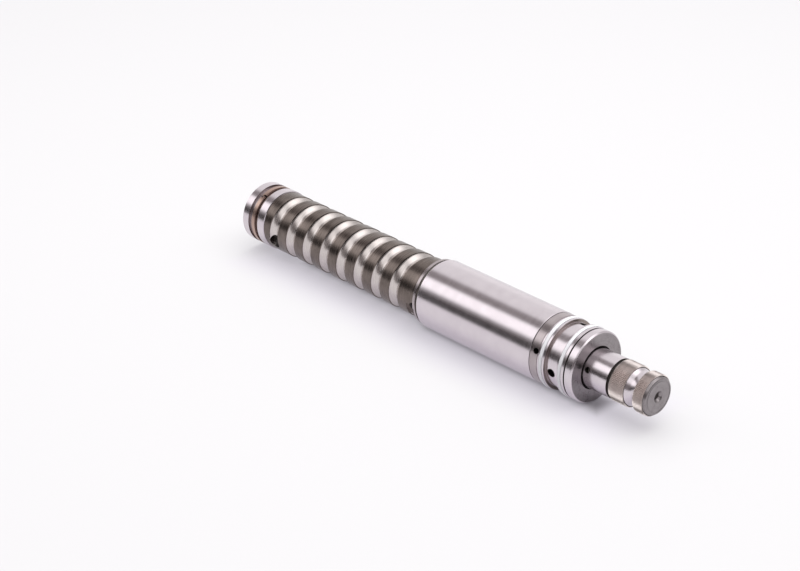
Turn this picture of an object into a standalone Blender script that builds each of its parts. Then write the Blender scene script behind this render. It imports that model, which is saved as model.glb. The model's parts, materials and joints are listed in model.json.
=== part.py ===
"""Steering worm with a built-in rotary control valve, from a recirculating-ball power steering gear.

Lengths here are millimetres and the model is in metres. A station is a distance along the shaft from the
worm's end face. Angles are degrees around the shaft, from the top over the front. All pieces hang from one
datum empty at the worm's end face, whose local Z runs along the shaft, X up and Y to the front. The world's
origin is on the axis at mid-length, with +X towards the serrated end.
"""
import math

import bmesh
import bpy
from mathutils import Matrix, Vector

MM = 0.001
STEPS = 32              # facets around a turned piece
GAP = 0.3               # clearance between neighbouring pieces
LENGTH = 379.0          # worm end face to input shaft end face
HEAD_RADIUS = 25.0      # ground valve housing on the worm's head, which drives most radii

# Worm
WORM_RADIUS = 21.6
LAND_RADIUS = 22.25
LAND_END = 23.4
RING_GROOVE = (7.0, 16.9)
RING_GROOVE_FLOOR = 20.6
RING_SEAT = (9.8, 14.1)
RING_SEAT_FLOOR = 19.3
LEAD = 17.924
GROOVE_TURNS = 8
GROOVE_START = (33.1, 112.5)
GROOVE_EXTRA_STEPS = 1
BALL_GROOVE_RADIUS = 4.95
BALL_GROOVE_BOTTOM = 18.5
ARCH_OFFSET = 0.2       # each flank's centre lies this far past the groove's middle: a Gothic arch
START_POCKET_RADIUS = 4.7
START_POCKET_FLOOR = 17.6
END_POCKET = (180.0, 108.8)
END_POCKET_RADIUS = 5.6
END_POCKET_FLOOR = 11.0
SHAFT_BORE = 7.0        # bore for the torsion bar, in the worm and in the input shaft

# Head
SHOULDER = 181.0
SHOULDER_RADIUS = 24.0
RELIEF_START = 183.5
RELIEF_RADIUS = 22.4
HEAD_START = 185.8
HEAD_END = 290.5
CHAMBER_START = 205.5
CHAMBER_RADIUS = 15.9
SPIGOT_BORE_START = 258.0
SPIGOT_BORE = 20.0

# Valve sleeve
SLEEVE_START = 261.0
FLANGE_START = HEAD_END + GAP
SLEEVE_END = 327.2
SLEEVE_RADIUS = 24.8
SLEEVE_BORE = 17.5
LIP_RADIUS = 14.6
LIP_START = 325.0
SPIGOT_RADIUS = SPIGOT_BORE - GAP
FLANGE_LINE = (297.2, 297.7)
FLANGE_LINE_RADIUS = 24.4
SEAL_GROOVES = ((298.7, 301.8), (315.3, 318.2))
SEAL_GROOVE_FLOOR = 22.0
RECESS = (303.4, 313.9)
RECESS_RADIUS = 22.5
END_GROOVE = (320.4, 321.5)
END_GROOVE_RADIUS = 23.8
ORING_GROOVE = (268.0, 270.6)
WIRE_GROOVE = (279.0, 281.0)
PORT_STATION = 308.2
PORT_ANGLE = 98.0
PORT_COUNT = 3
PORT_RADIUS = 3.1
OIL_HOLE_STATION = 295.4
HOLE_ANGLE = 70.0
HOLE_RADIUS = 2.1
SLEEVE_SLOTS = (285.0, 313.0)
SLOT_COUNT = 6
DOWEL_PLACE = (22.3, 250.0)     # radius and angle of the pin that stops the sleeve from turning
DOWEL_HOLE_RADIUS = 1.8

# Input shaft
SHAFT_START = 206.0
SPOOL = (260.6, 314.2)
SPOOL_RADIUS = 17.2
JOURNAL_RADIUS = 14.0
REAR_JOURNAL_RADIUS = 12.0
TUBE_RADIUS = 9.5
LUG_SPAN = (208.0, 220.0)
LUG_RADIUS = 13.0
LUG_WIDTH = 8.0
BORE_END = 343.0
UNDERCUT = (347.1, 349.1)
CORE_RADIUS = 13.2
SERRATIONS = ((349.1, 361.5), (369.0, 377.0))
SERRATION_RADIUS = 14.3
SERRATION_ROOT = 13.45
SERRATION_TEETH = 80
CLAMP_GROOVE_DEPTH = 0.9
END_RADIUS = 12.7
CENTRE_HOLE_MOUTH = 4.0
CENTRE_HOLE_RADIUS = 2.3
CENTRE_CONE_DEPTH = 2.0
CENTRE_HOLE_DEPTH = 8.0
CROSS_HOLE_STATION = 330.8
VALVE_PLAY = 6.0        # degrees the input shaft turns each way before its lugs meet the stop

# Torsion bar
BAR_START = 4.6
BAR_END = 340.0
BAR_HEAD_RADIUS = SHAFT_BORE - GAP
BAR_RADIUS = 4.1
WORM_PIN_STATION = 11.95
WORM_PIN_ANGLE = 30.0
PIN_RADIUS = HOLE_RADIUS - GAP

# Bearings, each as (first station, length, pitch radius, roller radius)
REAR_BEARING = (226.0, 14.0, 13.9, 1.55)
FRONT_BEARING = (316.9, 7.6, 15.75, 1.45)
ROLLER_COUNT = 12


def around(station, radius, angle):
    """The point at a station, radius and angle, in the datum's frame."""
    turn = math.radians(angle)
    return Vector((radius * math.cos(turn), radius * math.sin(turn), station)) * MM


def material(name, colour, roughness, metallic=1.0):
    surface = bpy.data.materials.new(name)
    surface.use_nodes = True
    shader = surface.node_tree.nodes["Principled BSDF"]
    shader.inputs["Base Color"].default_value = (*colour, 1.0)
    shader.inputs["Roughness"].default_value = roughness
    shader.inputs["Metallic"].default_value = metallic
    surface.diffuse_color = (*colour, 1.0)
    return surface


def place(piece, surface, collection):
    """Hang a piece from the datum, in its collection and with its material."""
    for owner in list(piece.users_collection):
        owner.objects.unlink(piece)
    collection.objects.link(piece)
    piece.parent = bpy.data.objects["datum"]
    if surface:
        piece.data.materials.append(surface)
    return piece


def settle(piece):
    """Turn the modifiers into plain geometry, and shade round faces smooth with crisp edges."""
    bpy.context.view_layer.update()
    evaluated = piece.evaluated_get(bpy.context.evaluated_depsgraph_get())
    mesh = bpy.data.meshes.new_from_object(evaluated)
    old = piece.data
    piece.modifiers.clear()
    piece.data = mesh
    bpy.data.meshes.remove(old)
    mesh.name = piece.name
    mesh.shade_smooth()
    mesh.set_sharp_from_angle(angle=math.radians(30))
    return piece


def turned(name, outline, surface, steps=STEPS):
    """A turned piece from (station, radius) points: out along the outside, then back along the bore.

    An outline whose two ends lie on the axis is solid there, and any other outline is closed into a ring."""
    start = min(station for station, _ in outline)
    corners = [(radius * MM, 0.0, (station - start) * MM) for station, radius in reversed(outline)]
    edges = [(index, index + 1) for index in range(len(corners) - 1)]
    if outline[0][1] > 0.0:
        edges.append((len(corners) - 1, 0))
    mesh = bpy.data.meshes.new(name)
    mesh.from_pydata(corners, edges, [])
    piece = bpy.data.objects.new(name, mesh)
    place(piece, surface, parts)
    piece.location.z = start * MM
    screw = piece.modifiers.new("Turn", "SCREW")
    screw.steps = steps
    screw.render_steps = steps
    screw.use_merge_vertices = True
    screw.merge_threshold = 0.00001
    return settle(piece)


def ring(name, span, inner, outer, surface):
    first, last = span
    return turned(name, [(first, outer), (last, outer), (last, inner), (first, inner)], surface)


def round_ring(name, station, pitch_radius, section_radius, surface, sides=6):
    """An O-ring, or a ring of round wire."""
    outline = []
    for side in range(sides):
        turn = math.tau * side / sides
        outline.append((station - section_radius * math.cos(turn),
                        pitch_radius + section_radius * math.sin(turn)))
    return turned(name, outline, surface)


def cylinder(name, station, radius, angle, size, surface=None, radial=False, sides=16):
    """A pin, roller or drill of (radius, length), centred at a place, lying along the shaft or across it."""
    bpy.ops.mesh.primitive_cylinder_add(vertices=sides, radius=size[0] * MM, depth=size[1] * MM)
    piece = bpy.context.object
    piece.name = name
    piece.data.name = name
    place(piece, surface, parts if surface else cutters)
    piece.location = around(station, radius, angle)
    piece.rotation_euler = (0.0, math.radians(90.0 if radial else 0.0), math.radians(angle))
    if surface:
        piece.data.shade_smooth()
        piece.data.set_sharp_from_angle(angle=math.radians(40))
    return piece


def block(name, station, radius, angle, size):
    """A box of (radial, tangential, axial) size, centred at a place."""
    bpy.ops.mesh.primitive_cube_add(size=1.0)
    piece = bpy.context.object
    piece.name = name
    piece.data.transform(Matrix.Diagonal((*(Vector(size) * MM), 1.0)))
    place(piece, None, cutters)
    piece.location = around(station, radius, angle)
    piece.rotation_euler.z = math.radians(angle)
    return piece


def combine(piece, tools, operation="DIFFERENCE"):
    """Cut the tools out of a piece, or join them to it."""
    for tool in tools:
        tool.hide_render = True
        tool.display_type = "WIRE"
        step = piece.modifiers.new(tool.name, "BOOLEAN")
        step.object = tool
        step.operation = operation
    return settle(piece)


def ball_groove_tool():
    """The ball track's cutter: a Gothic arch, swept left-handed along the worm."""
    start, angle = GROOVE_START
    centre_height = BALL_GROOVE_BOTTOM + math.sqrt(BALL_GROOVE_RADIUS**2 - ARCH_OFFSET**2)
    flank_points = 3
    opening = math.radians(70.0)
    lowest = math.asin(ARCH_OFFSET / BALL_GROOVE_RADIUS)
    half = []
    for index in range(flank_points + 1):
        share = index / flank_points
        turn = lowest + (opening - lowest) * share
        across = BALL_GROOVE_RADIUS * math.sin(turn) - ARCH_OFFSET + 2 * ARCH_OFFSET * share
        half.append((across, centre_height - BALL_GROOVE_RADIUS * math.cos(turn)))
    half.append((half[-1][0], HEAD_RADIUS))
    section = half + [(-across, height) for across, height in reversed(half) if across > 0.0]
    form = bmesh.new()
    corners = [form.verts.new(around(start + across, height, angle)) for across, height in section]
    face = form.faces.new(corners)
    turns = GROOVE_TURNS + GROOVE_EXTRA_STEPS / STEPS
    count = GROOVE_TURNS * STEPS + GROOVE_EXTRA_STEPS
    advance = Vector((0.0, 0.0, LEAD * MM / STEPS))
    bmesh.ops.spin(form, geom=[face, *face.edges, *face.verts], cent=(0.0, 0.0, 0.0), axis=(0.0, 0.0, 1.0),
                   dvec=advance, angle=-math.tau * turns, steps=count)
    bmesh.ops.recalc_face_normals(form, faces=form.faces)
    mesh = bpy.data.meshes.new("ball_groove_tool")
    form.to_mesh(mesh)
    form.free()
    return place(bpy.data.objects.new("ball_groove_tool", mesh), None, cutters)


def end_pocket_tool():
    """The run-out pocket's cutter, flat on the side where it meets the shoulder."""
    station, angle = END_POCKET
    top = HEAD_RADIUS + 5.0
    middle = (END_POCKET_FLOOR + top) / 2
    depth = top - END_POCKET_FLOOR
    size = (END_POCKET_RADIUS, depth)
    tool = cylinder("end_pocket_tool", station, middle, angle, size, radial=True, sides=24)
    reach = 2 * END_POCKET_RADIUS
    beyond = SHOULDER - 0.15 + reach / 2
    return combine(tool, [block("shoulder_tool", beyond, middle, angle, (depth + 2.0, 1.5 * reach, reach))])


def worm_shaft():
    ring_start, ring_end = RING_GROOVE
    seat_start, seat_end = RING_SEAT
    wire_start, wire_end = WIRE_GROOVE
    outline = [
        (0.0, LAND_RADIUS - 1.0), (1.0, LAND_RADIUS),
        (ring_start, LAND_RADIUS), (ring_start, RING_GROOVE_FLOOR),
        (seat_start, RING_GROOVE_FLOOR), (seat_start, RING_SEAT_FLOOR),
        (seat_end, RING_SEAT_FLOOR), (seat_end, RING_GROOVE_FLOOR),
        (ring_end, RING_GROOVE_FLOOR), (ring_end, LAND_RADIUS),
        (LAND_END, LAND_RADIUS), (LAND_END, WORM_RADIUS),
        (SHOULDER, WORM_RADIUS), (SHOULDER, SHOULDER_RADIUS - 0.4), (SHOULDER + 0.4, SHOULDER_RADIUS),
        (RELIEF_START, SHOULDER_RADIUS), (RELIEF_START, RELIEF_RADIUS), (HEAD_START, RELIEF_RADIUS),
        (HEAD_START, HEAD_RADIUS - 0.5), (HEAD_START + 0.5, HEAD_RADIUS),
        (HEAD_END - 0.3, HEAD_RADIUS), (HEAD_END, HEAD_RADIUS - 0.3),
        (HEAD_END, SPIGOT_BORE), (wire_end, SPIGOT_BORE), (wire_end, SPIGOT_BORE + 0.9),
        (wire_start, SPIGOT_BORE + 0.9), (wire_start, SPIGOT_BORE),
        (SPIGOT_BORE_START, SPIGOT_BORE), (SPIGOT_BORE_START, CHAMBER_RADIUS),
        (CHAMBER_START, CHAMBER_RADIUS), (CHAMBER_START, SHAFT_BORE),
        (4.0, SHAFT_BORE), (4.0, 9.0), (0.0, 9.0),
    ]
    piece = turned("worm_shaft", outline, ground_steel)
    start, angle = GROOVE_START
    top = HEAD_RADIUS + 5.0
    tools = [
        ball_groove_tool(),
        cylinder("start_pocket_tool", start, (START_POCKET_FLOOR + top) / 2, angle,
                 (START_POCKET_RADIUS, top - START_POCKET_FLOOR), radial=True, sides=24),
        end_pocket_tool(),
        cylinder("worm_pin_tool", WORM_PIN_STATION, 0.0, WORM_PIN_ANGLE, (HOLE_RADIUS, 60.0), radial=True),
        cylinder("dowel_tool", HEAD_END, *DOWEL_PLACE, (DOWEL_HOLE_RADIUS, 14.0)),
    ]
    return combine(piece, tools)


def worm_small_pieces():
    """The plug and pin in the worm's end, and the split ring that seals its land in the piston's bore."""
    turned("worm_end_plug", [(0.8, 0.0), (0.8, 8.7), (3.7, 8.7), (3.7, 0.0)], dull_steel)
    cylinder("worm_cross_pin", WORM_PIN_STATION, 0.0, WORM_PIN_ANGLE, (PIN_RADIUS, 37.0), dull_steel,
             radial=True)
    seat_start, seat_end = RING_SEAT
    span = (seat_start + 0.5, seat_end - 0.5)
    seal = ring("worm_seal_ring", span, RING_SEAT_FLOOR + 0.5, LAND_RADIUS - 0.1, bronze)
    combine(seal, [block("seal_split_tool", sum(span) / 2, 21.0, WORM_PIN_ANGLE, (5.0, 1.2, 8.0))])


def valve_sleeve():
    oring_start, oring_end = ORING_GROOVE
    wire_start, wire_end = WIRE_GROOVE
    outline = [
        (SLEEVE_START, SPIGOT_RADIUS - 0.8), (SLEEVE_START + 0.8, SPIGOT_RADIUS),
        (oring_start, SPIGOT_RADIUS), (oring_start, SPIGOT_RADIUS - 1.1),
        (oring_end, SPIGOT_RADIUS - 1.1), (oring_end, SPIGOT_RADIUS),
        (wire_start, SPIGOT_RADIUS), (wire_start, SPIGOT_RADIUS - 0.9),
        (wire_end, SPIGOT_RADIUS - 0.9), (wire_end, SPIGOT_RADIUS),
        (FLANGE_START, SPIGOT_RADIUS), (FLANGE_START, SLEEVE_RADIUS),
    ]
    grooves = [
        (FLANGE_LINE, FLANGE_LINE_RADIUS), (SEAL_GROOVES[0], SEAL_GROOVE_FLOOR), (RECESS, RECESS_RADIUS),
        (SEAL_GROOVES[1], SEAL_GROOVE_FLOOR), (END_GROOVE, END_GROOVE_RADIUS),
    ]
    for (first, last), floor in grooves:
        outline += [(first, SLEEVE_RADIUS), (first, floor), (last, floor), (last, SLEEVE_RADIUS)]
    outline += [
        (SLEEVE_END - 1.0, SLEEVE_RADIUS), (SLEEVE_END, SLEEVE_RADIUS - 0.9),
        (SLEEVE_END, LIP_RADIUS), (LIP_START, LIP_RADIUS),
        (LIP_START, SLEEVE_BORE), (SLEEVE_START, SLEEVE_BORE),
    ]
    piece = turned("valve_sleeve", outline, ground_steel)
    tools = []
    for index in range(PORT_COUNT):
        angle = PORT_ANGLE + 360.0 * index / PORT_COUNT
        tools.append(cylinder("port_tool", PORT_STATION, 21.0, angle, (PORT_RADIUS, 12.0), radial=True))
    for angle in (HOLE_ANGLE, HOLE_ANGLE + 180.0):
        tools.append(cylinder("oil_hole_tool", OIL_HOLE_STATION, 21.0, angle, (HOLE_RADIUS, 12.0),
                              radial=True))
    slot_start, slot_end = SLEEVE_SLOTS
    for index in range(SLOT_COUNT):
        angle = PORT_ANGLE + 360.0 * index / SLOT_COUNT
        tools.append(block("slot_tool", (slot_start + slot_end) / 2, SLEEVE_BORE, angle,
                           (2.6, 4.4, slot_end - slot_start)))
    tools.append(cylinder("dowel_tool", FLANGE_START, *DOWEL_PLACE, (DOWEL_HOLE_RADIUS, 8.0)))
    return combine(piece, tools)


def sleeve_small_pieces():
    """The sleeve's seals, and the wire ring and dowel pin that hold it in the head."""
    for name, (first, last) in zip(("rear", "front"), SEAL_GROOVES):
        ring(f"ptfe_ring_{name}", (first + 0.2, last - 0.2), SEAL_GROOVE_FLOOR + 1.5, HEAD_RADIUS + 0.1, ptfe)
        round_ring(f"expander_oring_{name}", (first + last) / 2, SEAL_GROOVE_FLOOR + 0.75, 0.6, rubber)
    round_ring("spigot_oring", sum(ORING_GROOVE) / 2, SPIGOT_RADIUS - 0.4, 0.55, rubber)
    wire = round_ring("sleeve_retaining_ring", sum(WIRE_GROOVE) / 2, SPIGOT_BORE - 0.15, 0.7, dull_steel)
    combine(wire, [block("wire_split_tool", sum(WIRE_GROOVE) / 2, SPIGOT_BORE, 180.0, (6.0, 5.0, 6.0))])
    cylinder("sleeve_dowel_pin", HEAD_END - 1.2, *DOWEL_PLACE, (DOWEL_HOLE_RADIUS - GAP, 10.4), dull_steel)


def serration(span):
    """A prism of fine V teeth, to be joined to the input shaft."""
    count = 2 * SERRATION_TEETH
    form = bmesh.new()
    loops = []
    for station in span:
        loop = []
        for index in range(count):
            radius = SERRATION_RADIUS if index % 2 == 0 else SERRATION_ROOT
            loop.append(form.verts.new(around(station, radius, 360.0 * index / count)))
        loops.append(loop)
        form.faces.new(loop)
    near, far = loops
    for index in range(count):
        following = (index + 1) % count
        form.faces.new((near[index], near[following], far[following], far[index]))
    bmesh.ops.recalc_face_normals(form, faces=form.faces)
    mesh = bpy.data.meshes.new("serration_tool")
    form.to_mesh(mesh)
    form.free()
    return place(bpy.data.objects.new("serration_tool", mesh), None, cutters)


def clamp_groove():
    """The rounded groove between the two serrations, where the coupling's pinch bolt passes."""
    first, last = SERRATIONS[0][1], SERRATIONS[1][0]
    points = []
    count = 6
    for index in range(1, count):
        along = index / count
        radius = CORE_RADIUS - CLAMP_GROOVE_DEPTH * math.sin(math.pi * along)
        points.append((first + (last - first) * along, radius))
    return points


def input_shaft():
    spool_start, spool_end = SPOOL
    lug_start, lug_end = LUG_SPAN
    cut_start, cut_end = UNDERCUT
    outline = [
        (BORE_END + 3.0, 0.0), (BORE_END, SHAFT_BORE), (SHAFT_START, SHAFT_BORE),
        (SHAFT_START, TUBE_RADIUS), (lug_end + 2.5, TUBE_RADIUS), (lug_end + 2.5, REAR_JOURNAL_RADIUS),
        (spool_start, REAR_JOURNAL_RADIUS), (spool_start, SPOOL_RADIUS),
        (spool_end, SPOOL_RADIUS), (spool_end, JOURNAL_RADIUS),
        (cut_start, JOURNAL_RADIUS), (cut_start, CORE_RADIUS), (SERRATIONS[0][1], CORE_RADIUS),
        *clamp_groove(),
        (SERRATIONS[1][0], CORE_RADIUS), (SERRATIONS[1][1], CORE_RADIUS), (LENGTH, END_RADIUS),
        (LENGTH, CENTRE_HOLE_MOUTH), (LENGTH - CENTRE_CONE_DEPTH, CENTRE_HOLE_RADIUS),
        (LENGTH - CENTRE_HOLE_DEPTH, CENTRE_HOLE_RADIUS), (LENGTH - CENTRE_HOLE_DEPTH - 1.1, 0.0),
    ]
    piece = turned("input_shaft", outline, ground_steel)
    lug_radius = (LUG_RADIUS + TUBE_RADIUS - 1.0) / 2
    joined = [serration(span) for span in SERRATIONS]
    for angle in (0.0, 180.0):
        joined.append(block("lug_tool", (lug_start + lug_end) / 2, lug_radius, angle,
                            (LUG_RADIUS - TUBE_RADIUS + 1.0, LUG_WIDTH, lug_end - lug_start)))
    combine(piece, joined, "UNION")
    groove_start, groove_end = spool_start + 21.4, spool_end - 3.2
    tools = [cylinder("cross_hole_tool", CROSS_HOLE_STATION, 0.0, HOLE_ANGLE, (HOLE_RADIUS, 40.0),
                      radial=True)]
    for index in range(SLOT_COUNT):
        angle = PORT_ANGLE + 360.0 * (index + 0.5) / SLOT_COUNT
        tools.append(cylinder("control_groove_tool", (groove_start + groove_end) / 2, SPOOL_RADIUS + 1.6,
                              angle, (3.2, groove_end - groove_start), sides=10))
    return combine(piece, tools)


def torsion_bar():
    outline = [
        (BAR_START, 0.0), (BAR_START, BAR_HEAD_RADIUS - 0.8), (BAR_START + 0.8, BAR_HEAD_RADIUS),
        (20.0, BAR_HEAD_RADIUS), (26.0, BAR_RADIUS), (316.0, BAR_RADIUS), (322.0, BAR_HEAD_RADIUS),
        (324.5, BAR_HEAD_RADIUS), (324.5, 5.35), (326.7, 5.35), (326.7, BAR_HEAD_RADIUS),
        (BAR_END - 0.8, BAR_HEAD_RADIUS), (BAR_END, BAR_HEAD_RADIUS - 0.8), (BAR_END, 0.0),
    ]
    piece = turned("torsion_bar", outline, dull_steel, steps=16)
    combine(piece, [
        cylinder("bar_pin_tool", WORM_PIN_STATION, 0.0, WORM_PIN_ANGLE, (HOLE_RADIUS, 20.0), radial=True),
        cylinder("bar_pin_tool", CROSS_HOLE_STATION, 0.0, HOLE_ANGLE, (HOLE_RADIUS, 20.0), radial=True),
    ])
    ring("torsion_bar_bush", (238.0, 250.0), BAR_RADIUS + GAP, BAR_HEAD_RADIUS, brass)
    round_ring("torsion_bar_oring", 325.6, 6.1, 0.55, rubber)
    cylinder("input_cross_pin", CROSS_HOLE_STATION, 0.0, HOLE_ANGLE, (PIN_RADIUS, 22.0), dull_steel,
             radial=True)


def stop_bush():
    """The bush in the head whose two slots let the input shaft's lugs turn by VALVE_PLAY each way."""
    first, last = LUG_SPAN[0] - 1.5, LUG_SPAN[1] + 2.0
    bush = ring("stop_bush", (first, last), TUBE_RADIUS + GAP + 0.1, CHAMBER_RADIUS - GAP, dull_steel)
    play = math.radians(VALVE_PLAY)
    half_width = LUG_WIDTH / 2 * math.cos(play) + LUG_RADIUS * math.sin(play) + GAP
    half_height = math.hypot(LUG_RADIUS, LUG_WIDTH / 2) + GAP
    combine(bush, [block("lug_slot_tool", (first + last) / 2, 0.0, 0.0,
                         (2 * half_height, 2 * half_width, last - first + 4.0))])


def thrust_washers():
    ring("thrust_washer_rear", (SPIGOT_BORE_START + GAP, SPOOL[0] - GAP), REAR_JOURNAL_RADIUS + 0.4,
         SPIGOT_BORE - 0.4, dull_steel)
    ring("thrust_washer_front", (SPOOL[1] + GAP, FRONT_BEARING[0] - GAP), JOURNAL_RADIUS + 0.4,
         SLEEVE_BORE - 0.4, dull_steel)


def needle_bearing(name, bearing, surface):
    """A cage with one pocket to each roller, and the loose rollers in them."""
    start, length, pitch_radius, roller_radius = bearing
    middle = start + length / 2
    roller_length = length - 3.4
    cage = ring(f"needle_cage_{name}", (start, start + length), pitch_radius - 1.0, pitch_radius + 1.0,
                surface)
    pocket = (2 * (roller_radius + 1.0), 2 * (roller_radius + GAP), roller_length + 2 * GAP)
    spacing = 360.0 / ROLLER_COUNT
    combine(cage, [block("pocket_tool", middle, pitch_radius, spacing * index, pocket)
                   for index in range(ROLLER_COUNT)])
    for index in range(ROLLER_COUNT):
        cylinder(f"needle_{name}_{index + 1:02d}", middle, pitch_radius, spacing * index,
                 (roller_radius, roller_length), surface, sides=10)


for item in list(bpy.data.objects):
    bpy.data.objects.remove(item)
parts = bpy.data.collections.new("steering_worm")
cutters = bpy.data.collections.new("cutters")
bpy.context.scene.collection.children.link(parts)
bpy.context.scene.collection.children.link(cutters)
datum = bpy.data.objects.new("datum", None)
parts.objects.link(datum)
datum.location.x = -LENGTH / 2 * MM
datum.rotation_euler = (math.pi, -math.pi / 2, 0.0)

ground_steel = material("ground_steel", (0.62, 0.60, 0.60), 0.28)
dull_steel = material("dull_steel", (0.42, 0.40, 0.38), 0.45)
bronze = material("bronze", (0.50, 0.33, 0.19), 0.35)
brass = material("brass", (0.62, 0.47, 0.22), 0.35)
ptfe = material("ptfe", (0.88, 0.88, 0.89), 0.45, metallic=0.0)
rubber = material("rubber", (0.03, 0.03, 0.03), 0.7, metallic=0.0)

worm_shaft()
worm_small_pieces()
valve_sleeve()
sleeve_small_pieces()
input_shaft()
torsion_bar()
stop_bush()
thrust_washers()
needle_bearing("rear", REAR_BEARING, dull_steel)
needle_bearing("front", FRONT_BEARING, dull_steel)
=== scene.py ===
"""Finished look of a steering worm with a rotary control valve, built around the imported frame.

The shaft's axis is X. Stations are millimetres from the worm's end face, read from the frame. Angles are
degrees around the shaft, from the top over the front (-Y), so they grow with a right-handed turn about +X.
Turned pieces that show are rebuilt here with fine facets, eased edges, real teeth and a smooth ball track.
"""
import json
import math

import bmesh
import bpy
from mathutils import Matrix, Vector


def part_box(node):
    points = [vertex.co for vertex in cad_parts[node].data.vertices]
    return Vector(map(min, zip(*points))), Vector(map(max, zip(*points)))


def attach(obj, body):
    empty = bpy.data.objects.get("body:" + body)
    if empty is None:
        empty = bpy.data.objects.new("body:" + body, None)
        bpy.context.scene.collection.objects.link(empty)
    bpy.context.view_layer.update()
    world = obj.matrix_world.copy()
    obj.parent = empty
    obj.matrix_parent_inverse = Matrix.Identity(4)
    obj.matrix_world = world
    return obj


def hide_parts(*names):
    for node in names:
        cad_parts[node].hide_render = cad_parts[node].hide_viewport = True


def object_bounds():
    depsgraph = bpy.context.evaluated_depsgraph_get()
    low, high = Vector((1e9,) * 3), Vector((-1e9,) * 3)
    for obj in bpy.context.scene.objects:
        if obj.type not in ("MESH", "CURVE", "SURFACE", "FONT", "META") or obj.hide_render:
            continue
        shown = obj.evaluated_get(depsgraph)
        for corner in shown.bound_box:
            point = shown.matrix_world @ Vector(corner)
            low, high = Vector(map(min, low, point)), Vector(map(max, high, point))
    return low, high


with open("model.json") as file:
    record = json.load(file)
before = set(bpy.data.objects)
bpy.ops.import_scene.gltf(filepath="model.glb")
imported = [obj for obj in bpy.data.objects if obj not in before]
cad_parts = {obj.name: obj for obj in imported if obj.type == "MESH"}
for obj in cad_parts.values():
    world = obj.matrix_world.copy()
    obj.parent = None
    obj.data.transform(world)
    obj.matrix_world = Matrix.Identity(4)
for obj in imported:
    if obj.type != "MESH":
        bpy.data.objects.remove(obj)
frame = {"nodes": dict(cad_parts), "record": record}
cad_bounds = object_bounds()

MM = 0.001
FACETS = 160                    # facets around a fine turned piece
DRILL_FACETS = 40               # facets around a drilled hole
DRILL_END = 30.0                # radius that every drill reaches, outside the part
SHARP = 32.0                    # degrees between faces above which an edge is drawn sharp
WORM_LOW, WORM_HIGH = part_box("worm_shaft")
SLEEVE_LOW, SLEEVE_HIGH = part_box("valve_sleeve")
SHAFT_LOW, SHAFT_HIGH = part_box("input_shaft")
SEAL_LOW, SEAL_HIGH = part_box("worm_seal_ring")
START = WORM_LOW.x              # station 0
AXIS = Vector((1.0, 0.0, 0.0))


def station_of(x):
    return (x - START) / MM


# Worm and head
HEAD_RADIUS = WORM_HIGH.z / MM
HEAD_END = station_of(WORM_HIGH.x)
LENGTH = station_of(SHAFT_HIGH.x)
WORM_RADIUS = 21.6
LAND_RADIUS = 22.25
LAND_END = 23.4
RING_GROOVE = (7.0, 16.9)
RING_GROOVE_FLOOR = 20.6
RING_SEAT = (9.8, 14.1)
RING_SEAT_FLOOR = 19.3
SHOULDER = 181.0
SHOULDER_RADIUS = 24.0
RELIEF_START = 183.5
RELIEF_RADIUS = 22.4
HEAD_START = 185.8
CHAMBER_START = 205.5
CHAMBER_RADIUS = 15.9
SPIGOT_BORE = 20.0
SPIGOT_BORE_START = 258.0
WIRE_GROOVE = (279.0, 281.0)
SHAFT_BORE = 7.0
PLUG_BORE = 9.0
PLUG_BORE_DEPTH = 4.0

# Ball track: a Gothic arch swept left-handed, from the run-in pocket to the run-out hole
LEAD = 17.924
TRACK_START = 33.1
TRACK_START_ANGLE = 112.5
TRACK_TURNS = 8.03
TRACK_STEPS = 96                # per turn
TRACK_RADIUS = 4.95
TRACK_BOTTOM = 18.5
ARCH_OFFSET = 0.2
START_POCKET_RADIUS = 4.7
START_POCKET_FLOOR = 17.6
END_POCKET = (180.0, 108.8)
END_POCKET_RADIUS = 5.6
END_POCKET_FLOOR = 11.0

# Sleeve
SLEEVE_START = station_of(SLEEVE_LOW.x)
SLEEVE_END = station_of(SLEEVE_HIGH.x)
SLEEVE_RADIUS = SLEEVE_HIGH.z / MM
FLANGE_START = HEAD_END + 0.3
FLANGE_LINE = (297.2, 297.7)
FLANGE_LINE_RADIUS = 24.4
SEAL_GROOVES = ((298.7, 301.8), (315.3, 318.2))
SEAL_GROOVE_FLOOR = 22.0
END_GROOVE = (320.4, 321.5)
END_GROOVE_RADIUS = 23.8
RECESS = (303.4, 313.9)
RECESS_RADIUS = 22.5
ORING_GROOVE = (268.0, 270.6)
SLEEVE_BORE = 17.5
LIP_START = 325.0
LIP_RADIUS = 14.6
PORT_STATION = 308.2
PORT_ANGLE = 98.0
PORT_COUNT = 3
PORT_RADIUS = 3.1
OIL_HOLE_STATION = 295.4
HOLE_ANGLE = 70.0
HOLE_RADIUS = 2.1

# Input shaft
SHAFT_START = station_of(SHAFT_LOW.x)
SPOOL = (260.6, 314.2)
SPOOL_RADIUS = SHAFT_HIGH.y / MM
JOURNAL_RADIUS = 14.0
REAR_JOURNAL_RADIUS = 12.0
TUBE_RADIUS = 9.5
LUG_SPAN = (208.0, 220.0)
LUG_RADIUS = 13.0
LUG_WIDTH = 8.0
TUBE_END = LUG_SPAN[1] + 2.5
BORE_END = 343.0
UNDERCUT = (347.1, 349.1)
CORE_RADIUS = 13.2
WAIST_DEPTH = 0.9               # of the clamp groove, below the core
SERRATIONS = ((349.1, 361.5), (369.0, 377.0))
SERRATION_RADIUS = 14.3
SERRATION_ROOT = 13.45
SERRATION_TEETH = 80
END_RADIUS = 12.7
CENTRE_HOLE_MOUTH = 4.0
CENTRE_HOLE_RADIUS = 2.3
CENTRE_CONE_DEPTH = 2.0
CENTRE_HOLE_DEPTH = 8.0
FACE_LINE = (10.7, 11.1)
CROSS_HOLE_STATION = 330.8
SPLIT_ANGLE = 30.0
WORM_PIN_STATION = 11.95
SHAFT_HOLE_FLOOR = 3.0          # radius at which holes across the worm and the shaft stop
SLEEVE_HOLE_FLOOR = 15.0
FACE_LINE_DEPTH = 0.25
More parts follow.
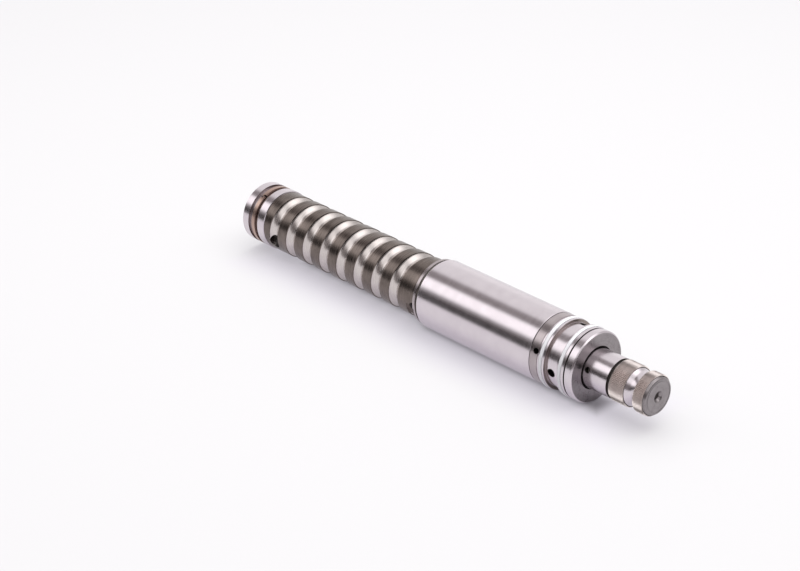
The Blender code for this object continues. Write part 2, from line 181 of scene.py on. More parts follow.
SHADED_RUN_OUT_ANGLES = (95.0, 150.0)  # where the track's last part is painted dark, as painted shade


# ---------------------------------------------------------------- mesh helpers

def around(station, radius, angle):
    """The point at a station, radius and angle."""
    turn = math.radians(angle)
    return Vector((START + station * MM, -radius * MM * math.sin(turn), radius * MM * math.cos(turn)))


def radius_of(point):
    return math.hypot(point.y, point.z) / MM


def angle_of(point):
    return math.degrees(math.atan2(-point.y, point.z))


def new_piece(name, form):
    """A piece from a finished bmesh, with its faces pointing out."""
    bmesh.ops.recalc_face_normals(form, faces=form.faces)
    mesh = bpy.data.meshes.new(name)
    form.to_mesh(mesh)
    form.free()
    piece = bpy.data.objects.new(name, mesh)
    bpy.context.scene.collection.objects.link(piece)
    return piece


def eased(outline, ease, closed):
    """The outline with each sharp corner rounded over a length of ease on both of its sides."""
    points = [Vector(point) for point in outline]
    result = []
    for index, point in enumerate(points):
        if not closed and index in (0, len(points) - 1):
            result.append(point)
            continue
        before = points[index - 1] - point
        after = points[(index + 1) % len(points)] - point
        bend = before.angle(-after)
        reach = min(ease, 0.45 * before.length, 0.45 * after.length)
        if bend < math.radians(20.0) or reach < 0.01:
            result.append(point)
            continue
        first = point + before.normalized() * reach
        last = point + after.normalized() * reach
        middle = (first + last) / 2 * 0.42 + point * 0.58
        result += [first, middle, last]
    return result


def turned(name, outline, ease=0.15):
    """A turned piece from (station, radius) points, solid where its two ends lie on the axis."""
    closed = outline[0][1] > 0.0
    points = eased(outline, ease, closed)
    form = bmesh.new()
    corners = [form.verts.new(around(point.x, point.y, 0.0)) for point in points]
    edges = [form.edges.new(pair) for pair in zip(corners, corners[1:])]
    if closed:
        edges.append(form.edges.new((corners[-1], corners[0])))
    bmesh.ops.spin(form, geom=corners + edges, cent=(0.0, 0.0, 0.0), axis=AXIS, angle=math.tau,
                   steps=FACETS)
    bmesh.ops.remove_doubles(form, verts=form.verts, dist=0.000002)
    return new_piece(name, form)


def bake(piece):
    """Turn the modifiers into plain geometry."""
    evaluated = piece.evaluated_get(bpy.context.evaluated_depsgraph_get())
    mesh = bpy.data.meshes.new_from_object(evaluated)
    piece.modifiers.clear()
    piece.data = mesh
    mesh.name = piece.name


def smooth(piece, angle=SHARP):
    """Smooth shading that keeps sharp edges, and keeps flat lands flat beside their eased edges."""
    piece.data.shade_smooth()
    piece.data.set_sharp_from_angle(angle=math.radians(angle))
    weighting = piece.modifiers.new("normals", "WEIGHTED_NORMAL")
    weighting.keep_sharp = True
    bake(piece)
    return piece


def drill(station, angle, radius, inner):
    """A cutter for a round hole across the shaft, from an inner radius out past the surface."""
    form = bmesh.new()
    rings = [(inner, radius * 0.02), (inner, radius), (DRILL_END, radius)]
    corners = [form.verts.new((reach, 0.0, height)) for height, reach in rings]
    edges = [form.edges.new(pair) for pair in zip(corners, corners[1:])]
    bmesh.ops.spin(form, geom=corners + edges, cent=(0.0, 0.0, 0.0), axis=(0.0, 0.0, 1.0), angle=math.tau,
                   steps=DRILL_FACETS)
    bmesh.ops.remove_doubles(form, verts=form.verts, dist=0.0005)
    bmesh.ops.holes_fill(form, edges=form.edges)
    bmesh.ops.transform(form, matrix=Matrix.Diagonal((MM, MM, MM, 1.0)), verts=form.verts)
    bmesh.ops.transform(form, matrix=Matrix.Rotation(math.radians(angle), 4, "X"), verts=form.verts)
    bmesh.ops.translate(form, vec=(START + station * MM, 0.0, 0.0), verts=form.verts)
    return new_piece("drill", form)


def block(station, radius, angle, size):
    """A cutter box of (axial, tangential, radial) size, centred at a place."""
    form = bmesh.new()
    bmesh.ops.create_cube(form, size=1.0, matrix=Matrix.Diagonal((*(Vector(size) * MM), 1.0)))
    bmesh.ops.translate(form, vec=(0.0, 0.0, radius * MM), verts=form.verts)
    bmesh.ops.transform(form, matrix=Matrix.Rotation(math.radians(angle), 4, "X"), verts=form.verts)
    bmesh.ops.translate(form, vec=(START + station * MM, 0.0, 0.0), verts=form.verts)
    return new_piece("block", form)


def combine(piece, tools, operation="DIFFERENCE"):
    """Cut the tools out of a piece, or join them to it, and throw them away."""
    for tool in tools:
        step = piece.modifiers.new("step", "BOOLEAN")
        step.object = tool
        step.operation = operation
    bake(piece)
    for tool in tools:
        bpy.data.objects.remove(tool)
    return piece


def paint(piece, rule):
    """Give each face the material that rule(station, radius, angle, normal) picks."""
    piece.data.materials.clear()
    slots = {}
    for face in piece.data.polygons:
        centre = face.center
        surface = rule(station_of(centre.x), radius_of(centre), angle_of(centre), face.normal)
        if surface.name not in slots:
            slots[surface.name] = len(slots)
            piece.data.materials.append(surface)
        face.material_index = slots[surface.name]


def stand_for(piece, node, body):
    """The fine piece takes the place of a CAD node."""
    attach(piece, body)
    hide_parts(node)


# ---------------------------------------------------------------- fine pieces

def track_tool():
    """The ball track's cutter."""
    centre = TRACK_BOTTOM + math.sqrt(TRACK_RADIUS**2 - ARCH_OFFSET**2)
    lowest = math.asin(ARCH_OFFSET / TRACK_RADIUS)
    opening = math.radians(72.0)
    flank_points = 12
    half = []
    for index in range(flank_points + 1):
        turn = lowest + (opening - lowest) * index / flank_points
        across = TRACK_RADIUS * math.sin(turn) - ARCH_OFFSET
        half.append((across + 2 * ARCH_OFFSET * index / flank_points, centre - TRACK_RADIUS * math.cos(turn)))
    half.append((half[-1][0] + 0.2, HEAD_RADIUS))
    section = half + [(-across, height) for across, height in reversed(half) if across > 0.0]
    form = bmesh.new()
    corners = []
    for across, height in section:
        corners.append(form.verts.new(around(TRACK_START + across, height, TRACK_START_ANGLE)))
    face = form.faces.new(corners)
    advance = Vector((LEAD * MM / TRACK_STEPS, 0.0, 0.0))
    steps = round(TRACK_TURNS * TRACK_STEPS)
    bmesh.ops.spin(form, geom=[face, *face.edges, *face.verts], cent=(0.0, 0.0, 0.0), axis=AXIS, dvec=advance,
                   angle=-math.tau * steps / TRACK_STEPS, steps=steps)
    return new_piece("track_tool", form)


def end_pocket():
    """The run-out pocket's cutter, flat on the side where it meets the shoulder."""
    station, angle = END_POCKET
    reach = 4 * END_POCKET_RADIUS
    tool = drill(station, angle, END_POCKET_RADIUS, END_POCKET_FLOOR)
    return combine(tool, [block(SHOULDER - 0.15 + reach / 2, 20.0, angle, (reach, reach, 2 * reach))])


def worm():
    """The worm and its ground head, with the ball track, the pockets at its ends and the pin's holes."""
    ring_start, ring_end = RING_GROOVE
    seat_start, seat_end = RING_SEAT
    wire_start, wire_end = WIRE_GROOVE
    outline = [
        (0.0, LAND_RADIUS - 1.0), (1.0, LAND_RADIUS),
        (ring_start, LAND_RADIUS), (ring_start, RING_GROOVE_FLOOR),
        (seat_start, RING_GROOVE_FLOOR), (seat_start, RING_SEAT_FLOOR),
        (seat_end, RING_SEAT_FLOOR), (seat_end, RING_GROOVE_FLOOR),
        (ring_end, RING_GROOVE_FLOOR), (ring_end, LAND_RADIUS),
        (LAND_END, LAND_RADIUS), (LAND_END + 0.2, WORM_RADIUS),
        (SHOULDER, WORM_RADIUS), (SHOULDER, SHOULDER_RADIUS - 0.3), (SHOULDER + 0.3, SHOULDER_RADIUS),
        (RELIEF_START, SHOULDER_RADIUS), (RELIEF_START, RELIEF_RADIUS), (HEAD_START, RELIEF_RADIUS),
        (HEAD_START, HEAD_RADIUS - 0.4), (HEAD_START + 0.4, HEAD_RADIUS),
        (HEAD_END - 0.2, HEAD_RADIUS), (HEAD_END, HEAD_RADIUS - 0.2),
        (HEAD_END, SPIGOT_BORE), (wire_end, SPIGOT_BORE), (wire_end, SPIGOT_BORE + 0.9),
        (wire_start, SPIGOT_BORE + 0.9), (wire_start, SPIGOT_BORE),
        (SPIGOT_BORE_START, SPIGOT_BORE), (SPIGOT_BORE_START, CHAMBER_RADIUS),
        (CHAMBER_START, CHAMBER_RADIUS), (CHAMBER_START, SHAFT_BORE),
        (PLUG_BORE_DEPTH, SHAFT_BORE), (PLUG_BORE_DEPTH, PLUG_BORE), (0.0, PLUG_BORE),
    ]
    piece = turned("worm_fine", outline)
    combine(piece, [
        track_tool(),
        drill(TRACK_START, TRACK_START_ANGLE, START_POCKET_RADIUS, START_POCKET_FLOOR),
        end_pocket(),
        drill(WORM_PIN_STATION, SPLIT_ANGLE, HOLE_RADIUS, SHAFT_HOLE_FLOOR),
        drill(WORM_PIN_STATION, SPLIT_ANGLE + 180.0, HOLE_RADIUS, SHAFT_HOLE_FLOOR),
    ])

    def rule(station, radius, angle, normal):
        if LAND_END + 0.2 < station < SHOULDER:
            if radius > WORM_RADIUS - 0.12:
                return raw
            # Painted shade: the run-out pocket, the track below its bottom and the track's last 7.7 mm are
            # painted near black, and the 2.3 mm before them dark brown.
            across = math.sin(math.radians(angle - END_POCKET[1])) * radius
            beside = math.hypot(station - END_POCKET[0], across) < END_POCKET_RADIUS + 0.1
            shaded_run_out = station > SHOULDER - 10.0 and SHADED_RUN_OUT_ANGLES[0] < angle < SHADED_RUN_OUT_ANGLES[1]
            if radius < TRACK_BOTTOM - 0.1 or beside or (shaded_run_out and station > SHOULDER - 7.7):
                return painted_hollow_shade
            if normal.x > 0.86 or shaded_run_out:
                return raw
            return track
        if ring_start - 0.1 < station < ring_end + 0.1 and radius < LAND_RADIUS - 0.2:
            # The ring seat's floor is painted near black, as painted shade.
            return flange_steel if radius > RING_GROOVE_FLOOR - 0.2 else painted_hollow_shade
        if RELIEF_START - 0.1 < station < HEAD_START and radius < SHOULDER_RADIUS - 0.2:
            return dull
        if SHOULDER - 0.1 < station < HEAD_START:
            return flange_steel
        return ground

    paint(piece, rule)
    stand_for(smooth(piece), "worm_shaft", "worm")


def seal_ring():
    """The split ring with a stepped joint."""
    low, high = station_of(SEAL_LOW.x), station_of(SEAL_HIGH.x)
    inner, outer = RING_SEAT_FLOOR + 0.5, SEAL_HIGH.z / MM
    piece = turned("seal_ring_fine", [(low, outer), (high, outer), (high, inner), (low, inner)], ease=0.3)
    middle = (low + high) / 2
    half = (high - low) / 2
    combine(piece, [
        block(middle - half / 2, inner, SPLIT_ANGLE + 2.0, (half + 0.2, 1.3, 8.0)),
        block(middle + half / 2, inner, SPLIT_ANGLE - 2.0, (half + 0.2, 1.3, 8.0)),
    ])
    paint(piece, lambda *place: bronze)
    stand_for(smooth(piece), "worm_seal_ring", "seal_ring")


def sleeve():
    """The valve sleeve: spigot, flange, seal grooves, recess, ports and lip."""
    oring_start, oring_end = ORING_GROOVE
    wire_start, wire_end = WIRE_GROOVE
    spigot = SPIGOT_BORE - 0.3
    outline = [
        (SLEEVE_START, spigot - 0.8), (SLEEVE_START + 0.8, spigot),
        (oring_start, spigot), (oring_start, spigot - 1.1), (oring_end, spigot - 1.1), (oring_end, spigot),
        (wire_start, spigot), (wire_start, spigot - 0.9), (wire_end, spigot - 0.9), (wire_end, spigot),
        (FLANGE_START, spigot), (FLANGE_START, SLEEVE_RADIUS - 0.15), (FLANGE_START + 0.2, SLEEVE_RADIUS),
    ]
    grooves = [
        (FLANGE_LINE, FLANGE_LINE_RADIUS), (SEAL_GROOVES[0], SEAL_GROOVE_FLOOR), (RECESS, RECESS_RADIUS),
        (SEAL_GROOVES[1], SEAL_GROOVE_FLOOR), (END_GROOVE, END_GROOVE_RADIUS),
    ]
    for (first, last), bottom in grooves:
        outline += [(first, SLEEVE_RADIUS), (first, bottom), (last, bottom), (last, SLEEVE_RADIUS)]
    outline += [
        (SLEEVE_END - 1.0, SLEEVE_RADIUS), (SLEEVE_END, SLEEVE_RADIUS - 0.9),
        (SLEEVE_END, LIP_RADIUS + 0.4), (SLEEVE_END - 0.4, LIP_RADIUS), (LIP_START, LIP_RADIUS),
        (LIP_START, SLEEVE_BORE), (SLEEVE_START, SLEEVE_BORE),
    ]
    piece = turned("sleeve_fine", outline)
    tools = []
    for index in range(PORT_COUNT):
        angle = PORT_ANGLE + 360.0 * index / PORT_COUNT
        tools.append(drill(PORT_STATION, angle, PORT_RADIUS, SLEEVE_HOLE_FLOOR))
    for angle in (HOLE_ANGLE, HOLE_ANGLE + 180.0):
        tools.append(drill(OIL_HOLE_STATION, angle, HOLE_RADIUS, SLEEVE_HOLE_FLOOR))
    combine(piece, tools)

    def rule(station, radius, angle, normal):
        if normal.x > 0.9 and station > SLEEVE_END - 0.2:
            return faced
        # The recess walls get darker steel, as painted shade.
        if RECESS[0] - 0.1 < station < RECESS[1] + 0.1 and RECESS_RADIUS + 0.1 < radius < SLEEVE_RADIUS - 0.1:
            return recess_painted_shade
        # The spigot inside the head, the bore, the port walls and the end groove are painted near black, as
        # painted shade.
        if radius < RECESS_RADIUS - 0.3 or (END_GROOVE[0] < station < END_GROOVE[1]):
            return painted_hollow_shade
        if FLANGE_START - 0.1 < station < FLANGE_LINE[1]:
            return flange_steel
        return ground

    paint(piece, rule)
    stand_for(smooth(piece), "valve_sleeve", "worm")


def serration(span):
    """A band of V teeth whose ends run out in a chamfer."""
    first, last = span
    chamfer = 0.5
    count = 2 * SERRATION_TEETH
    form = bmesh.new()
    rings = []
    for station, lift in ((first, -chamfer), (first + chamfer, 0.0), (last - chamfer, 0.0), (last, -chamfer)):
        loop = []
        for index in range(count):
            radius = SERRATION_RADIUS if index % 2 == 0 else SERRATION_ROOT
            radius = min(radius, SERRATION_RADIUS + lift)
            loop.append(form.verts.new(around(station, radius, 360.0 * index / count)))
        rings.append(loop)
    for lower, upper in zip(rings, rings[1:]):
        for index in range(count):
            following = (index + 1) % count
            form.faces.new((lower[index], lower[following], upper[following], upper[index]))
    form.faces.new(rings[0])
    form.faces.new(rings[-1])
    return new_piece("serration", form)


def input_shaft():
    """The input shaft: tube with lugs, spool, journal with its cross hole, and two serrated bands."""
    cut_start, cut_end = UNDERCUT
    line_inner, line_outer = FACE_LINE
    waist_start, waist_end = SERRATIONS[0][1], SERRATIONS[1][0]
    waist = []
    count = 14
    for index in range(1, count):
        along = index / count
        depth = WAIST_DEPTH * math.sin(math.pi * along)
        waist.append((waist_start + (waist_end - waist_start) * along, CORE_RADIUS - depth))
    outline = [
        (BORE_END + 3.0, 0.0), (BORE_END, SHAFT_BORE), (SHAFT_START, SHAFT_BORE),
        (SHAFT_START, TUBE_RADIUS), (TUBE_END, TUBE_RADIUS), (TUBE_END, REAR_JOURNAL_RADIUS),
        (SPOOL[0], REAR_JOURNAL_RADIUS), (SPOOL[0], SPOOL_RADIUS), (SPOOL[1], SPOOL_RADIUS),
        (SPOOL[1], JOURNAL_RADIUS), (cut_start, JOURNAL_RADIUS), (cut_start, CORE_RADIUS),
        (waist_start, CORE_RADIUS), *waist, (waist_end, CORE_RADIUS), (SERRATIONS[1][1], CORE_RADIUS),
        (LENGTH - 0.9, END_RADIUS + 0.1), (LENGTH - 0.3, END_RADIUS - 0.2), (LENGTH, END_RADIUS - 0.8),
        (LENGTH, line_outer), (LENGTH - FACE_LINE_DEPTH, line_outer),
        (LENGTH - FACE_LINE_DEPTH, line_inner), (LENGTH, line_inner),
        (LENGTH, CENTRE_HOLE_MOUTH), (LENGTH - CENTRE_CONE_DEPTH, CENTRE_HOLE_RADIUS),
        (LENGTH - CENTRE_HOLE_DEPTH, CENTRE_HOLE_RADIUS), (LENGTH - CENTRE_HOLE_DEPTH - 1.1, 0.0),
    ]
    piece = turned("input_fine", outline)
    combine(piece, [drill(CROSS_HOLE_STATION, angle, HOLE_RADIUS, SHAFT_HOLE_FLOOR)
                    for angle in (HOLE_ANGLE, HOLE_ANGLE + 180.0)])
    joined = [serration(span) for span in SERRATIONS]
    for angle in (0.0, 180.0):
        joined.append(block(sum(LUG_SPAN) / 2, (LUG_RADIUS + TUBE_RADIUS) / 2 - 0.5, angle,
                            (LUG_SPAN[1] - LUG_SPAN[0], LUG_WIDTH, LUG_RADIUS - TUBE_RADIUS + 1.0)))
    combine(piece, joined, "UNION")

    def rule(station, radius, angle, normal):
        if station > SERRATIONS[1][1] - 0.05 and radius > CENTRE_HOLE_RADIUS + 0.1:
            return faced
        for first, last in SERRATIONS:
            if first - 0.05 < station < last + 0.05 and radius > CORE_RADIUS + 0.1:
                return serrated
        # The undercut, everything inside the worm and sleeve, the centre hole and the cross hole are painted
        # near black, as painted shade.
        if cut_start < station < cut_end:
            return painted_hollow_shade
        if (station > BORE_END + 5.0 and radius < CENTRE_HOLE_RADIUS + 0.1) or station < SPOOL[1]:
            return painted_hollow_shade
        if radius < JOURNAL_RADIUS - 0.1 and abs(station - CROSS_HOLE_STATION) < HOLE_RADIUS + 0.1:
            return painted_hollow_shade
        return ground

    paint(piece, rule)
    stand_for(smooth(piece), "input_shaft", "input")


def ptfe_rings():
    """The two white seal rings, with rounded corners."""
    for name in ("rear", "front"):
        low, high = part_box(f"ptfe_ring_{name}")
        first, last, outer = station_of(low.x), station_of(high.x), high.z / MM
        inner = SEAL_GROOVE_FLOOR + 1.5
        outline = [(first, outer), (last, outer), (last, inner), (first, inner)]
        piece = turned(f"ptfe_{name}_fine", outline, ease=0.5)
        paint(piece, lambda *place: ptfe)
        stand_for(smooth(piece, 50.0), f"ptfe_ring_{name}", "worm")


# ---------------------------------------------------------------- materials

class Tree:
    """Short forms for building a node tree."""

    def __init__(self, tree):
        self.tree = tree

    def add(self, kind, **values):
        node = self.tree.nodes.new(kind)
        for key, value in values.items():
            setattr(node, key, value)
        return node

    def link(self, output, socket):
        self.tree.links.new(output, socket)

    def compute(self, operation, first, second=None):
        """A sum on one or two values, each a socket or a number."""
        node = self.add("ShaderNodeMath", operation=operation)
        for value, socket in zip((first, second), node.inputs):
            if isinstance(value, float):
                socket.default_value = value
            elif value is not None:
                self.link(value, socket)
        return node.outputs[0]

    def share(self, value, low, high, bottom=0.0, top=1.0, interpolation="LINEAR"):
        """The value, brought from the range low to high to the range bottom to top, and held there."""
        node = self.add("ShaderNodeMapRange", interpolation_type=interpolation)
        node.inputs["From Min"].default_value = low
        node.inputs["From Max"].default_value = high
        node.inputs["To Min"].default_value = bottom
        node.inputs["To Max"].default_value = top
        self.link(value, node.inputs["Value"])
        return node.outputs["Result"]

    def ramp(self, value, stops):
        """Colours along a value, from (place, colour) stops."""
        node = self.add("ShaderNodeValToRGB")
        elements = node.color_ramp.elements
        while len(elements) < len(stops):
            elements.new(0.5)
        for element, (place, colour) in zip(elements, stops):
            element.position = place
            element.color = (*colour, 1.0)
        self.link(value, node.inputs["Fac"])
        return node.outputs["Color"]

    def mix(self, factor, first, second):
        node = self.add("ShaderNodeMix", data_type="RGBA")
        if isinstance(factor, float):
            node.inputs["Factor"].default_value = factor
        else:
            self.link(factor, node.inputs["Factor"])
        self.link(first, node.inputs["A"])
        self.link(second, node.inputs["B"])
        return node.outputs["Result"]


class Nodes(Tree):
    """A material's node tree."""

    def __init__(self, name):
        self.material = bpy.data.materials.new(name)
        self.material.use_nodes = True
        super().__init__(self.material.node_tree)
        self.shader = self.tree.nodes["Principled BSDF"]

    def coordinates(self, scale):
        """Object coordinates in metres, times a scale for each axis."""
        source = self.add("ShaderNodeTexCoord")
        mapping = self.add("ShaderNodeMapping")
        mapping.inputs["Scale"].default_value = scale
        self.link(source.outputs["Object"], mapping.inputs["Vector"])
        return mapping.outputs["Vector"]

    def noise(self, scale, detail=3.0, roughness=0.6):
        node = self.add("ShaderNodeTexNoise")
        node.inputs["Scale"].default_value = 1.0
        node.inputs["Detail"].default_value = detail
        node.inputs["Roughness"].default_value = roughness
        self.link(self.coordinates(scale), node.inputs["Vector"])
        return node.outputs["Fac"]

    def span(self, value, low, high):
        """A noise value, mostly from 0.3 to 0.7, brought to a range."""
        return self.share(value, 0.3, 0.7, low, high)

    def bump(self, height, strength, distance):
        node = self.add("ShaderNodeBump")
        node.inputs["Strength"].default_value = strength
        node.inputs["Distance"].default_value = distance
        self.link(height, node.inputs["Height"])
        self.link(node.outputs["Normal"], self.shader.inputs["Normal"])

    def surface(self, colour, roughness, metallic):
        self.link(colour, self.shader.inputs["Base Color"])
        self.link(roughness, self.shader.inputs["Roughness"])
        self.shader.inputs["Metallic"].default_value = metallic
        return self.material


def steel(name, dark, light, rough, lines=2600.0, depth=0.00001, strength=0.25):
    """Machined steel: fine marks that run around the shaft, over slow changes of tone."""
    nodes = Nodes(name)
    marks = nodes.noise((lines, 40.0, 40.0), detail=4.0, roughness=0.75)
    tone = nodes.noise((120.0, 90.0, 90.0), detail=3.0)
    line_colour = nodes.ramp(marks, [(0.3, dark), (0.7, light)])
    cloud_colour = nodes.ramp(tone, [(0.3, dark), (0.7, light)])
    colour = nodes.mix(0.5, line_colour, cloud_colour)
    nodes.bump(marks, strength, depth)
    return nodes.surface(colour, nodes.span(marks, rough[0], rough[1]), 1.0)


def turned_face(name, dark, light, rough):
    """A faced end: fine rings about the shaft's axis."""
    nodes = Nodes(name)
    flat = nodes.coordinates((0.0, 1.0, 1.0))
    length = nodes.add("ShaderNodeVectorMath", operation="LENGTH")
    nodes.link(flat, length.inputs[0])
    rings = nodes.add("ShaderNodeTexNoise", noise_dimensions="1D")
    rings.inputs["Scale"].default_value = 2200.0
    rings.inputs["Detail"].default_value = 3.0
    nodes.link(length.outputs["Value"], rings.inputs["W"])
    marks = rings.outputs["Fac"]
    tone = nodes.noise((200.0, 200.0, 200.0), detail=4.0)
    colour = nodes.mix(0.5, nodes.ramp(marks, [(0.3, dark), (0.7, light)]),
                       nodes.ramp(tone, [(0.3, dark), (0.7, light)]))
    nodes.bump(marks, 0.3, 0.00002)
    return nodes.surface(colour, nodes.span(tone, rough[0], rough[1]), 1.0)


def soft(name, dark, light, rough):
    """A plastic or rubber with a faint grain."""
    nodes = Nodes(name)
    grain = nodes.noise((400.0, 400.0, 400.0), detail=4.0)
    nodes.bump(grain, 0.15, 0.00003)
    colour = nodes.ramp(grain, [(0.3, dark), (0.7, light)])
    return nodes.surface(colour, nodes.span(grain, rough[0], rough[1]), 0.0)


ground = steel("ground_steel", (0.60, 0.547, 0.58), (0.69, 0.635, 0.67), (0.17, 0.26))
flange_steel = steel("flange_steel", (0.34, 0.295, 0.305), (0.48, 0.43, 0.44), (0.20, 0.28))
raw = steel("raw_steel", (0.09, 0.073, 0.066), (0.23, 0.19, 0.172), (0.22, 0.34), lines=1500.0, strength=0.4,
            depth=0.00002)
track = steel("track_steel", (0.52, 0.475, 0.46), (0.68, 0.63, 0.61), (0.20, 0.30))
# Darker steel for the recess walls: painted shade where the recess shades itself.
recess_painted_shade = steel("recess_painted_shade", (0.20, 0.165, 0.15), (0.34, 0.29, 0.27), (0.25, 0.35))
serrated = steel("serrated_steel", (0.56, 0.505, 0.49), (0.79, 0.72, 0.70), (0.26, 0.36), lines=900.0)
dull = steel("dull_steel", (0.30, 0.28, 0.26), (0.46, 0.44, 0.42), (0.35, 0.50), lines=1200.0)
bronze = steel("bronze", (0.31, 0.212, 0.18), (0.53, 0.39, 0.335), (0.24, 0.36))
# Near-black steel for holes, pockets, narrow grooves and hidden insides: painted shade where light does not
# reach.
painted_hollow_shade = steel("painted_hollow_shade_steel", (0.03, 0.026, 0.025), (0.08, 0.07, 0.066), (0.45, 0.65))
faced = turned_face("faced_steel", (0.20, 0.18, 0.185), (0.36, 0.33, 0.34), (0.25, 0.38))
ptfe = soft("ptfe", (0.58, 0.575, 0.60), (0.68, 0.675, 0.70), (0.35, 0.50))
rubber = soft("rubber", (0.012, 0.012, 0.013), (0.03, 0.03, 0.03), (0.5, 0.7))

SLOT_SURFACES = {"ground_steel": ground, "dull_steel": dull, "bronze": bronze, "ptfe": ptfe, "rubber": rubber}
for part in frame["record"]["subparts"]:
    node = frame["nodes"][part["node"]]
    node.data.materials.clear()
    node.data.materials.append(SLOT_SURFACES[part["material_slot"]])
    node.data.shade_smooth()
    node.data.set_sharp_from_angle(angle=math.radians(SHARP))

worm()
seal_ring()
sleeve()
input_shaft()
ptfe_rings()


# ---------------------------------------------------------------- studio

CAMERA_AZIMUTH = math.radians(46.247)
CAMERA_ELEVATION = math.radians(27.367)
CAMERA_DISTANCE = 1.5121
CAMERA_TARGET = Vector((START + 0.1443, 0.0, -0.00888))
CAMERA_LENS = 97.253
FLOOR_HEIGHT = cad_bounds[0][2]
TABLE_EDGE = -0.48
TABLE_GAP = 0.0002
TABLE_REACH = 12.0
LAMP_SIZE = (1.8, 1.6)
LAMP_POWER = 16.0
LAMP_PLACE = (0.0, 0.15, 1.1)


def camera():
    """A long lens, above and to the front of the serrated end."""
    data = bpy.data.cameras.new("camera")
    data.lens = CAMERA_LENS
    data.sensor_width = 36.0
    data.clip_end = 50.0
    taker = bpy.data.objects.new("camera", data)
    back = Vector((math.sin(CAMERA_AZIMUTH) * math.cos(CAMERA_ELEVATION),
                   -math.cos(CAMERA_AZIMUTH) * math.cos(CAMERA_ELEVATION), math.sin(CAMERA_ELEVATION)))
    taker.location = CAMERA_TARGET + back * CAMERA_DISTANCE
    taker.rotation_euler = back.to_track_quat("Z", "Y").to_euler()
    bpy.context.scene.collection.objects.link(taker)
    bpy.context.scene.camera = taker


def floor():
    """A pale table that ends in front of the shaft, and glows. It is darker where the shaft almost touches
    it, a painted contact shadow that dims its glow and turns it lavender, and less so under the worm, which
    is thinner than the head."""
    form = bmesh.new()
    corners = [(-TABLE_REACH, TABLE_EDGE), (TABLE_REACH, TABLE_EDGE),
               (TABLE_REACH, TABLE_REACH), (-TABLE_REACH, TABLE_REACH)]
    form.faces.new([form.verts.new((*corner, FLOOR_HEIGHT - TABLE_GAP)) for corner in corners])
    piece = new_piece("floor", form)
    nodes = Nodes("floor_paper")
    nodes.shader.inputs["Roughness"].default_value = 0.9
    nodes.shader.inputs["Specular IOR Level"].default_value = 0.0
    # Lavender glow, which shows most where the painted contact shadow takes away the lit part.
    nodes.shader.inputs["Emission Color"].default_value = (0.95, 0.92, 1.0, 1.0)
    split = nodes.add("ShaderNodeSeparateXYZ")
    nodes.link(nodes.add("ShaderNodeTexCoord").outputs["Object"], split.inputs["Vector"])
    aside = nodes.compute("ABSOLUTE", split.outputs["Y"])
    beyond = nodes.compute("SUBTRACT", nodes.compute("ABSOLUTE", split.outputs["X"]), SLEEVE_HIGH.x)
    distance = nodes.compute("MAXIMUM", aside, beyond)
    # Base colour turns lavender near the shaft: a painted shadow tint.
    painted_shadow_tint = nodes.ramp(nodes.share(distance, 0.015, 0.05), [(0.0, (0.339, 0.324, 0.354)),
                                                           (1.0, (0.33, 0.332, 0.322))])
    nodes.link(painted_shadow_tint, nodes.shader.inputs["Base Color"])
    # Glow dimmed near the shaft, and less under the thinner worm: a painted contact shadow.
    shoulder = START + SHOULDER * MM
    thinner = nodes.share(split.outputs["X"], shoulder, shoulder - 0.015, 0.0, 0.007)
    clearance = nodes.compute("ADD", distance, thinner)
    glow_with_painted_shadow = nodes.share(clearance, 0.003, 0.016, 0.07, 0.42, "SMOOTHSTEP")
    nodes.link(glow_with_painted_shadow, nodes.shader.inputs["Emission Strength"])
    piece.data.materials.append(nodes.material)


class Sky(Tree):
    """The world's node tree."""

    def __init__(self, world):
        world.use_nodes = True
        super().__init__(world.node_tree)
        self.tree.nodes.clear()

    def around_shaft(self, angle, stops):
        """Light that changes with the angle around the shaft, from (degrees, brightness) stops."""
        colours = []
        for degrees, light in stops:
            warmth = 0.90 if light < 0.5 else 0.985
            colours.append(((degrees + 180.0) / 360.0, (light, light * warmth, light * warmth)))
        return self.ramp(angle, colours)


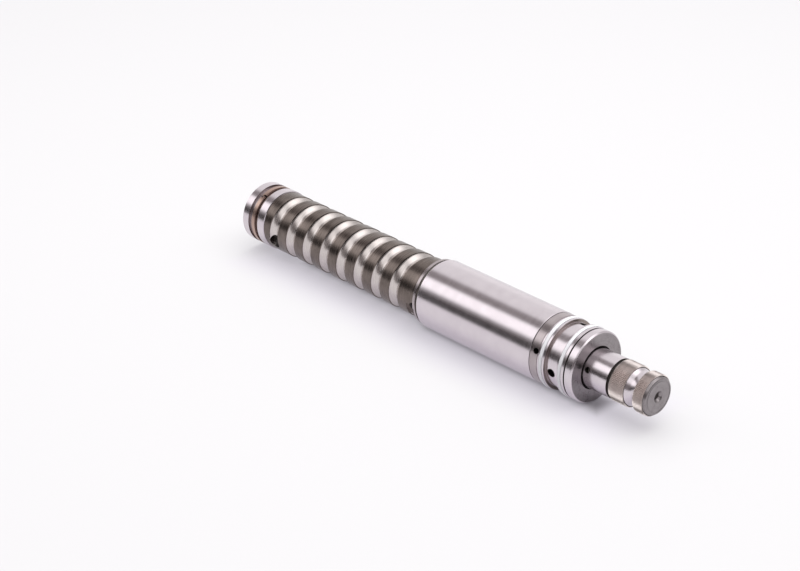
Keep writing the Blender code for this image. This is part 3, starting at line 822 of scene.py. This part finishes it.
def sky():
    """Soft studio surroundings, set by the angle around the shaft: a pale sweep behind, a bright soft box
    above the front, and a dark strip over the front horizon. Past the worm's end there is also a gap
    overhead, and past the serrated end the studio is dark."""
    world = bpy.data.worlds.new("studio")
    bpy.context.scene.world = world
    studio = Sky(world)
    split = studio.add("ShaderNodeSeparateXYZ")
    studio.link(studio.add("ShaderNodeTexCoord").outputs["Generated"], split.inputs["Vector"])
    front = studio.compute("MULTIPLY", split.outputs["Y"], -1.0)
    turn = studio.compute("ARCTAN2", front, split.outputs["Z"])
    angle = studio.share(turn, -math.pi, math.pi)
    worm_side = studio.around_shaft(angle, [
        (-180, 0.9), (-80, 1.1), (-66, 1.1), (-55, 1.0), (-10, 1.0), (0, 0.32), (19, 0.22), (27, 1.6),
        (54, 1.6), (62, 0.5), (69, 0.2), (76, 0.05), (98, 0.05), (107, 0.9), (180, 0.9),
    ])
    near_side = studio.around_shaft(angle, [
        (-180, 0.9), (-80, 0.8), (-56, 0.7), (-42, 1.35), (-28, 1.95), (-6, 1.85), (10, 0.95), (20, 1.0),
        (30, 1.35), (50, 1.3), (60, 0.4), (68, 0.2), (78, 0.2), (97, 0.25), (107, 0.9), (180, 0.9),
    ])
    both = studio.mix(studio.share(split.outputs["X"], -0.5, -0.3), worm_side, near_side)
    dark = studio.add("ShaderNodeRGB")
    dark.outputs[0].default_value = (0.04, 0.035, 0.035, 1.0)
    light = studio.mix(studio.share(split.outputs["X"], 0.72, 0.82), both, dark.outputs[0])
    back = studio.add("ShaderNodeBackground")
    studio.link(light, back.inputs["Color"])
    studio.link(back.outputs["Background"], studio.add("ShaderNodeOutputWorld").inputs["Surface"])


def key_light():
    """A large soft light overhead, which draws the shadow in close around the shaft."""
    data = bpy.data.lights.new("key", "AREA")
    data.shape = "RECTANGLE"
    data.size, data.size_y = LAMP_SIZE
    data.energy = LAMP_POWER
    lamp = bpy.data.objects.new("key", data)
    lamp.location = LAMP_PLACE
    lamp.visible_glossy = False
    bpy.context.scene.collection.objects.link(lamp)


camera()
floor()
sky()
key_light()
bpy.context.scene.view_settings.view_transform = "Standard"
